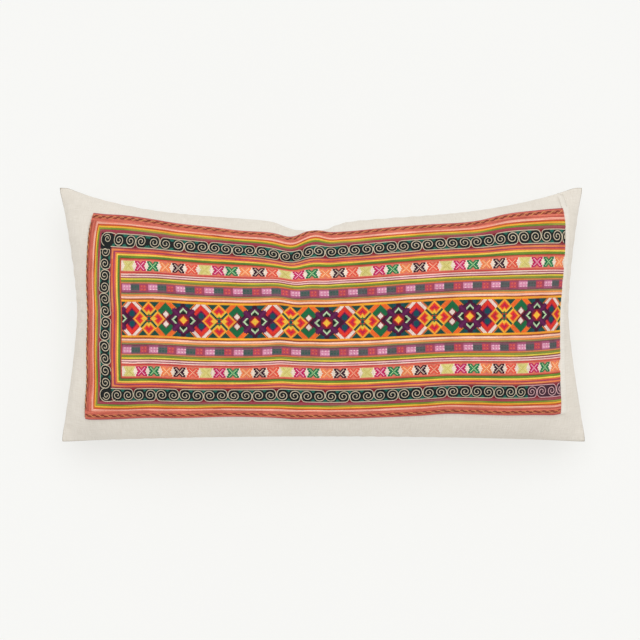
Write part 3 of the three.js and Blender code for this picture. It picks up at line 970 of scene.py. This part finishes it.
def corner_cords(middle, width):
    """The cord that runs round a corner from the row's first notch, and the curl inside it."""
    bend = np.radians(np.linspace(90, 250, 14))
    loop = np.column_stack([CORNER_LOOP["across"] * np.cos(bend), CORNER_LOOP["up"] * np.sin(bend)])
    loop += (CORNER_LOOP["x"], CORNER_LOOP["y"])
    lead = [(width + 0.0042, 0.0055), (width + 0.0020, 0.0070), (0.0130, 0.0079)]
    share = np.linspace(0, 1, 30)
    radius = CORNER_CURL["first"] + (CORNER_CURL["last"] - CORNER_CURL["first"]) * share
    angle = math.radians(150) - share * CORNER_CURL["turns"] * math.tau
    curl = np.column_stack([radius * np.cos(angle), radius * np.sin(angle)])
    curl += (CORNER_CURL["x"], CORNER_CURL["y"])
    return [np.vstack([lead, loop]) + (0, middle), curl + (0, middle)]


def spiral_ground(where):
    length, width = band_size("spiral_band", where)
    middle, (_, period) = width / 2, SPIRAL_NOTCHES[where]
    band = band_slab("spiral_band", where, round(length / SPIRAL_STEP), SPIRAL_ROWS, cuts=1)
    centres = face_centres(band)
    x, y = centres[:, 0], centres[:, 1] - middle
    dyes = np.tile(SPIRAL_BLACK, (len(x), 1))
    plum = (x + band_starts["spiral_band"][0] > PLUM_FROM) & (where == "bottom")
    dyes[plum] = PLUM_GROUND
    for centre, across, along in spiral_centres(where, length):
        away, notch = centre + along * period / 8, centre - along * period / 8
        between_pairs = np.abs(x - away) < (np.abs(y) - TEAL_FROM) * TEAL_SLOPE
        under_notch = np.abs(x - notch) < (-y * across - TEAL_FROM) * TEAL_SLOPE
        dyes[between_pairs & ~plum] = SPIRAL_TEAL
        dyes[np.abs(x - notch) < (y * across - NOTCH_FROM) * NOTCH_SLOPE] = NOTCH_RED
        dyes[under_notch & ~plum] = SPIRAL_TEAL
    dyes[np.abs(y) > border_reach(width) + 0.0002] = BORDER_MAUVE
    corner = x < corner_width(where) - 0.0002
    dyes[corner] = SPIRAL_BLACK
    edge = (x < 0.0008) | (y > BORDER_REACH + 0.0006)
    dyes[corner & edge] = BORDER_MAUVE
    fading = 1 + SPIRAL_FADING * wander(x * 3 + y, SPIRAL_FADING_STEP, 5)
    dye_faces(band, dyes * fading[:, None])
    seat_band(band, "spiral_band", where)
    finish_piece(band, black_cotton, "spiral_band", f"spiral_band_{where}")


for where in ("top", "bottom", "left"):
    spiral_ground(where)
    cords = flat_cords(f"spiral_cords_{where}", spiral_cords(where), SPIRAL_CORD_RADIUS)
    along_band = face_centres(cords)[:, :1] + (band_starts["spiral_band"][0] if where == "bottom" else -1)
    dye_faces(cords, np.where(along_band > PLUM_FROM, LILAC_CORD, SPIRAL_CREAM))
    seat_band(cords, "spiral_band", where)
    finish_piece(cords, couched_silk, "spiral_band")

# The stitched bands: cotton covered all over with cross stitches of about 1.2 mm, each a little raised in
# its middle where its two threads cross. A chart gives the dye of each stitch.
STITCH_RISE, STITCH_CORNER_RISE = 0.00038, 0.0001
cross_stitch = dyed_finish("cross_stitch", (1500, 1500, 1), 0.00025)


def stitched_band(name, length, width, columns, rows, chart):
    """A band of cross stitches, whose chart gives a dye for each column and row of stitches."""
    slab = flat_slab(name, length, width, columns, rows, BAND_UNDERSIDE, BAND_TOP - BAND_UNDERSIDE, cuts=1)

    def stitch_height(x, y):
        i = np.rint(x / length * columns * 2).astype(int)
        j = np.rint(y / width * rows * 2).astype(int)
        crossing = (i % 2 == 1) & (j % 2 == 1)
        corner = (i % 2 == 0) & (j % 2 == 0)
        inside = (i > 0) & (i < 2 * columns) & (j > 0) & (j < 2 * rows)
        return np.where(crossing, STITCH_RISE, np.where(corner, STITCH_CORNER_RISE, 0)) * inside

    raise_top(slab, stitch_height)
    centres = face_centres(slab)
    column = np.clip((centres[:, 0] / length * columns).astype(int), 0, columns - 1)
    row = np.clip((centres[:, 1] / width * rows).astype(int), 0, rows - 1)
    dyes = chart(np.arange(columns)[:, None], np.arange(rows)[None, :])
    uneven = np.random.default_rng(columns + rows).uniform(0.9, 1.1, (columns, rows, 1))
    dye_faces(slab, (dyes * uneven)[column, row])
    return slab


def stitched_row(band, where, columns, rows, chart):
    piece = stitched_band(f"{band}_{where}_stitches", *band_size(band, where), columns, rows, chart)
    seat_band(piece, band, where)
    finish_piece(piece, cross_stitch, band, f"{band}_{where}")


def pick(shape, layers):
    """Colours a chart from a ground and then layer on layer of a test and its dye."""
    dyes = np.zeros((*shape, 3))
    for test, shade in layers:
        dyes[np.broadcast_to(test, shape)] = shade
    return dyes


# The star rows: eight-pointed stars of six dyes in turn on a cream ground, in dense cross stitch. Each has
# a light cross, and notches of coral above and below it but for the pale yellow-green ones.
STAR_COLUMNS, STAR_ROWS, STAR_PITCH, STAR_FROM = 410, 11, 12, 2
STAR_GROUND, STAR_EDGE = colour(238, 220, 202), colour(222, 122, 100)
STAR_DYES = [(218, 206, 130), (194, 30, 92), (28, 118, 74), (236, 132, 80), (54, 24, 40), (226, 86, 66)]
STAR_CROSSES = [
    (204, 186, 96), (244, 180, 196), (176, 214, 150), (248, 196, 150), (226, 200, 178), (246, 180, 150),
]


def star_chart(column, row):
    shape = np.broadcast_shapes(column.shape, row.shape)
    star = (column - STAR_FROM) // STAR_PITCH
    ax, ay = np.abs((column - STAR_FROM) % STAR_PITCH - 5), np.abs(row - 5)
    gap = 6 - ax + ay / 1.5 <= 2.4
    notch = ax <= ay - 3
    petal = (column >= STAR_FROM) & ~gap & ~notch & (ax < 6)
    cross = (ax == ay) & (ax < 4) & (column >= STAR_FROM)
    layers = [(True, STAR_GROUND), (notch, STAR_EDGE), (ay == 5, STAR_EDGE)]
    for which, (dye, light) in enumerate(zip(STAR_DYES, STAR_CROSSES)):
        mine = star % len(STAR_DYES) == which
        whole = notch & (which == 0)
        layers.append((mine & (petal | whole) & (ay < 5), colour(*dye)))
        layers.append((mine & cross, colour(*light)))
    return pick(shape, layers)


for where in ("top", "bottom"):
    stitched_row("star_row", where, STAR_COLUMNS, STAR_ROWS, star_chart)

# The block rows: small blocks of pink chequer, grey-teal and coral in turn, in dense cross stitch. The
# grey-teal turns to grey on the right half, and mauve threads edge the blocks above and below.
BLOCK_COLUMNS, BLOCK_ROWS, BLOCK_WIDTH, BLOCK_FROM = 429, 8, 9, 1


def block_chart(column, row):
    shape = np.broadcast_shapes(column.shape, row.shape)
    block = (column - BLOCK_FROM) // BLOCK_WIDTH % 3
    inside = (column - BLOCK_FROM) % BLOCK_WIDTH
    line = (inside % 3 == 0) | (row % 3 == 0)
    dot = (inside % 3 == 2) & (row % 3 == 2)
    edge, foot = (row == 0) | (row == BLOCK_ROWS - 1), row == 1
    return pick(shape, [
        (block == 0, colour(224, 158, 184)),
        ((block == 0) & line, colour(212, 134, 164)),
        ((block == 0) & dot, colour(240, 206, 212)),
        ((block == 0) & (edge | foot), colour(172, 92, 124)),
        (block == 1, colour(62, 90, 82)),
        ((block == 1) & (column > BLOCK_COLUMNS // 2), colour(84, 80, 82)),
        ((block == 1) & line, colour(88, 94, 92)),
        ((block == 1) & (edge | foot), colour(124, 86, 98)),
        (block == 2, colour(200, 76, 76)),
        ((block == 2) & line, colour(184, 72, 92)),
        ((block == 2) & dot, colour(216, 112, 92)),
        ((block == 2) & edge, colour(152, 74, 100)),
        ((block == 2) & (inside > 6), colour(160, 74, 96)),
    ])


for where in ("top", "bottom"):
    stitched_row("block_row", where, BLOCK_COLUMNS, BLOCK_ROWS, block_chart)

# The centre band: diamonds of yellow and of plum in turn, with red and green tents between them, all in
# dense cross stitch, 31 stitches high and 68 stitches from one red tent to the next. Each diamond has four
# petals or four plumes, and each tent a dot above and one below its middle.
CENTRE_COLUMNS, CENTRE_ROWS, CENTRE_PERIOD, FIRST_TENT = 431, 31, 68, 10
DIAMOND, DOT_AWAY, SQUARE_DOT, ROUND_DOT = 15, 4.8, 3.2, 2.9
RED, YELLOW, PLUM = colour(222, 54, 42), colour(240, 188, 62), colour(84, 20, 66)
DARK_PLUM, TEAL, GREEN = colour(60, 18, 44), colour(16, 74, 84), colour(24, 104, 62)
ORANGE, WHITE_PINK, PALE_GREEN = colour(236, 104, 40), colour(232, 212, 200), colour(184, 212, 168)
MAGENTA, MAROON, BLACK = colour(186, 30, 70), colour(130, 24, 44), colour(28, 26, 28)
BOTTLE_GREEN, AMBER, RUST = colour(20, 72, 62), colour(228, 130, 48), colour(190, 56, 34)
VIOLET = colour(100, 28, 80)


def petal_layers(out, aside):
    """One petal of a yellow diamond: a yellow rim round a red chevron that points out of the diamond."""
    spread = np.abs(out - 9) + aside
    return [
        (spread <= 7, YELLOW),
        ((spread <= 5) & (out - 9 + aside >= -1), ORANGE),
        ((spread <= 4) & (out - 9 + aside >= 0), RED),
        ((spread <= 2) & (out - 9 + aside >= 1), MAGENTA),
        ((spread == 7) & (out > 9), AMBER),
    ]


def plume_layers(out, aside):
    """One side of a plum diamond: a pale chevron on black that points out, with a maroon tip beyond."""
    tip = out + aside
    return [
        ((aside <= 2) & (out >= 6) & (tip <= 11), BLACK),
        ((aside <= 3) & (tip >= 10) & (tip <= 11) & (out >= 6), PALE_GREEN),
        ((aside <= 1) & (out >= 13) & (tip <= DIAMOND + 1), DARK_PLUM),
    ]


def centre_chart(column, row):
    shape = np.broadcast_shapes(column.shape, row.shape)
    place = (column - FIRST_TENT) % CENTRE_PERIOD
    half, quarter = CENTRE_PERIOD // 2, CENTRE_PERIOD // 4
    ay = np.abs(row - DIAMOND)

    def beside(middle):
        return np.abs((place - middle + half) % CENTRE_PERIOD - half)

    near_red = beside(0) < quarter
    aside = np.where(near_red, beside(0), beside(half))
    tent = DIAMOND - ay - aside
    square_dot = aside + np.abs(ay - DOT_AWAY) < SQUARE_DOT
    round_dot = np.hypot(aside, ay - DOT_AWAY) < ROUND_DOT
    ax_yellow, ax_plum = beside(quarter), beside(quarter + half)
    yellow, plum = ax_yellow + ay, ax_plum + ay
    layers = [
        (True, BOTTLE_GREEN),
        (tent > -7, AMBER),
        (near_red & (tent > -6), RUST),
        (near_red & (tent > -5), WHITE_PINK),
        (~near_red & (tent > -6), ORANGE),
        (near_red & (tent > -1), RUST),
        (near_red & (tent > 0), RED),
        (~near_red & (tent > -1), GREEN),
        (near_red & (tent > 4), MAGENTA),
        (near_red & (tent > 5), PLUM),
        (~near_red & (tent > 6), MAROON),
        (near_red & round_dot, TEAL),
        (~near_red & square_dot, WHITE_PINK),
        (yellow <= DIAMOND + 1, AMBER),
        (yellow <= DIAMOND, BOTTLE_GREEN),
        (yellow <= 4, RUST),
    ]
    layers += petal_layers(ay, ax_yellow) + petal_layers(ax_yellow, ay)
    layers += [
        (ax_yellow + np.abs(ay - 3) <= 1, GREEN),
        ((ax_yellow <= 1) & (ay <= 1), TEAL),
        (plum <= DIAMOND + 1, DARK_PLUM),
        ((plum <= DIAMOND + 4) & (np.abs(ax_plum - ay) <= 3), PLUM),
        ((plum <= DIAMOND + 5) & (np.abs(ax_plum - ay) <= 1), VIOLET),
        ((plum <= DIAMOND - 1) & (np.abs(ax_plum - ay) > 3), PLUM),
        ((ax_plum <= 5) & (ay >= 13) & (ax_plum >= 3), TEAL),
        (plum <= 7, MAROON),
        (plum <= 4, RED),
        (plum <= 3, YELLOW),
    ]
    layers += plume_layers(ay, ax_plum) + plume_layers(ax_plum, ay)
    return pick(shape, layers)


centre_size = (TEXTILE_RIGHT - FIELD_LEFT, 2 * CENTRE_HALF_HEIGHT)
centre_stitches = (CENTRE_COLUMNS, CENTRE_ROWS, centre_chart)
centre = stitched_band("centre_band_centre_stitches", *centre_size, *centre_stitches)
write_points(centre, read_points(centre) + (FIELD_LEFT, -CENTRE_HALF_HEIGHT, 0))
lay_on_face(centre)
choose(centre)
bpy.ops.object.shade_smooth_by_angle(angle=math.radians(60))
finish_piece(centre, cross_stitch, "centre_band", "centre_band")

# The end facing: a strip of the same linen with its edges turned in, laid along the textile's cut right
# end and sewn down with a line of stitches. It runs from the top seam to the foot of the textile.
FACING_WIDTH, FACING_TURN_IN, FACING_THICKNESS, FACING_TOP = 0.008, 0.002, 0.0024, 0.1495
FACING_COLUMNS, FACING_ROWS, FACING_ROUND = 8, 90, 0.0012
FACING_THINNED, FACING_THINNING = 0.0022, 0.006
facing_length = FACING_TOP + TEXTILE_HALF_HEIGHT
facing_cut = (FACING_WIDTH, facing_length, FACING_COLUMNS, FACING_ROWS)
facing = flat_slab("linen_facing", *facing_cut, CLEARANCE, FACING_THICKNESS)
facing_points = read_points(facing)
facing_top = facing_points[:, 2] > FACING_THICKNESS / 2
facing_round = np.abs(facing_points[:, 0] / FACING_WIDTH * 2 - 1) ** 4
above_textile = np.clip((facing_points[:, 1] - textile_height) / FACING_THINNING, 0, 1)
facing_drop = FACING_ROUND * facing_round * (1 - above_textile) + FACING_THINNED * above_textile
facing_points[:, 2] -= np.where(facing_top, facing_drop, 0)
write_points(facing, facing_points + (TEXTILE_RIGHT, -TEXTILE_HALF_HEIGHT, 0))
lay_on_face(facing)
bpy.ops.object.shade_smooth_by_angle(angle=math.radians(50))
# The facing's linen is a lighter copy of the cover's: a painted highlight on its raised fold
finish_piece(facing, linen_finish("facing_linen_painted_highlight", (243, 238, 229), (218, 210, 197)), "linen", "end_facing")

# The running stitches: a line of linen thread that sews the facing down, and a line beside the textile's
# left end. Each stitch is a low arch that goes into the cloth at both its ends.
STITCH_LENGTH, STITCH_GAP, STITCH_THREAD = 0.0026, 0.0012, 0.00022
STITCH_ARCH, STITCH_SHARES = (-0.0003, 0.0002, 0.0002, -0.0003), (0, 0.2, 0.5, 0.68)
thread_finish = Finish("linen_thread", 0.8, 0.1)
thread_noise = thread_finish.noise(thread_finish.attribute("cloth", "Vector"), 900)
thread_dark, thread_light = rgba(colour(196, 186, 168)), rgba(colour(236, 230, 218))
thread_share = thread_finish.between(thread_noise, 0, 1)
thread_shade = thread_finish.mix("MIX", thread_share, thread_dark, thread_light)
thread_finish.put(thread_finish.shader.inputs["Base Color"], thread_shade)


def running_stitches(name, start, end, height):
    """A line of short stitches on the flat panel between two places, each a low arch of thread."""
    start, end = np.array(start), np.array(end)
    length = np.linalg.norm(end - start)
    count = int(length / (STITCH_LENGTH + STITCH_GAP))
    arch = np.array(STITCH_ARCH) + height
    paths = []
    for k in range(count):
        from_start = (k + np.array(STITCH_SHARES)) * (STITCH_LENGTH + STITCH_GAP) / length
        paths.append(np.column_stack([start + (end - start) * from_start[:, None], arch]))
    stitches = flat_cords(name, paths, STITCH_THREAD, 0)
    lay_on_face(stitches)
    finish_piece(stitches, thread_finish.material, "linen")


running_stitches("facing_stitches", (0.2802, -0.112), (0.2802, 0.147), 0.0018)
running_stitches("left_stitches", (-0.2735, -0.112), (-0.2735, 0.113), 0.0004)

# The studio: a pale floor, a soft sun that stands over the cushion's top edge, and bright soft light all
# round. The camera looks at the face with the cushion leaning back a little, as when it stands.
LEAN, CAMERA_AWAY, CAMERA_LENS = math.radians(5), 2.1, 102.8
LOOK_AT_X, LOOK_BELOW = -0.0023, 0.0085
FLOOR_SIZE, FLOOR_BELOW, FLOOR_GLOW = 12, 0.0005, 0.55
SUN_TILT, SUN_TURN, SUN_SOFTNESS, SUN_STRENGTH = math.radians(20), 0.2, math.radians(60), 1.05
SKY_STRENGTH = 0.74
up = np.array([0, math.cos(LEAN), math.sin(LEAN)])
back = np.array([0, -math.sin(LEAN), math.cos(LEAN)])
look_at = np.array([LOOK_AT_X, 0, SEAM_HEIGHT]) - LOOK_BELOW * up
bpy.ops.object.camera_add(location=look_at + CAMERA_AWAY * back, rotation=(LEAN, 0, 0))
camera = bpy.context.object
camera.data.sensor_width = 36
camera.data.lens = CAMERA_LENS
bpy.context.scene.camera = camera

deselect()
bpy.ops.mesh.primitive_plane_add(size=FLOOR_SIZE, location=(0, 0, -FLOOR_BELOW))
floor = bpy.context.object
floor.name = "floor"
paper = Finish("white_paper", 0.95, 0.0)
paper_grain = paper.noise(paper.nodes.new("ShaderNodeTexCoord").outputs["Object"], 3)
paper_shade = paper.mix("MIX", paper_grain, rgba(colour(170, 170, 168)), rgba(colour(172, 172, 170)))
paper.put(paper.shader.inputs["Base Color"], paper_shade)
# The floor also glows with its own light, though it is no lamp, which lifts the cushion's shadow on it to a
# paler grey
paper.shader.inputs["Emission Color"].default_value = rgba(colour(245, 245, 243))
paper.shader.inputs["Emission Strength"].default_value = FLOOR_GLOW
floor.data.materials.append(paper.material)

bpy.ops.object.light_add(type="SUN", rotation=(-SUN_TILT, 0, -SUN_TURN))
key = bpy.context.object
key.data.angle = SUN_SOFTNESS
key.data.energy = SUN_STRENGTH
world = bpy.data.worlds.new("studio")
bpy.context.scene.world = world
world.use_nodes = True
world.node_tree.nodes["Background"].inputs["Color"].default_value = (1, 1, 1, 1)
world.node_tree.nodes["Background"].inputs["Strength"].default_value = SKY_STRENGTH
bpy.context.scene.view_settings.view_transform = "Standard"
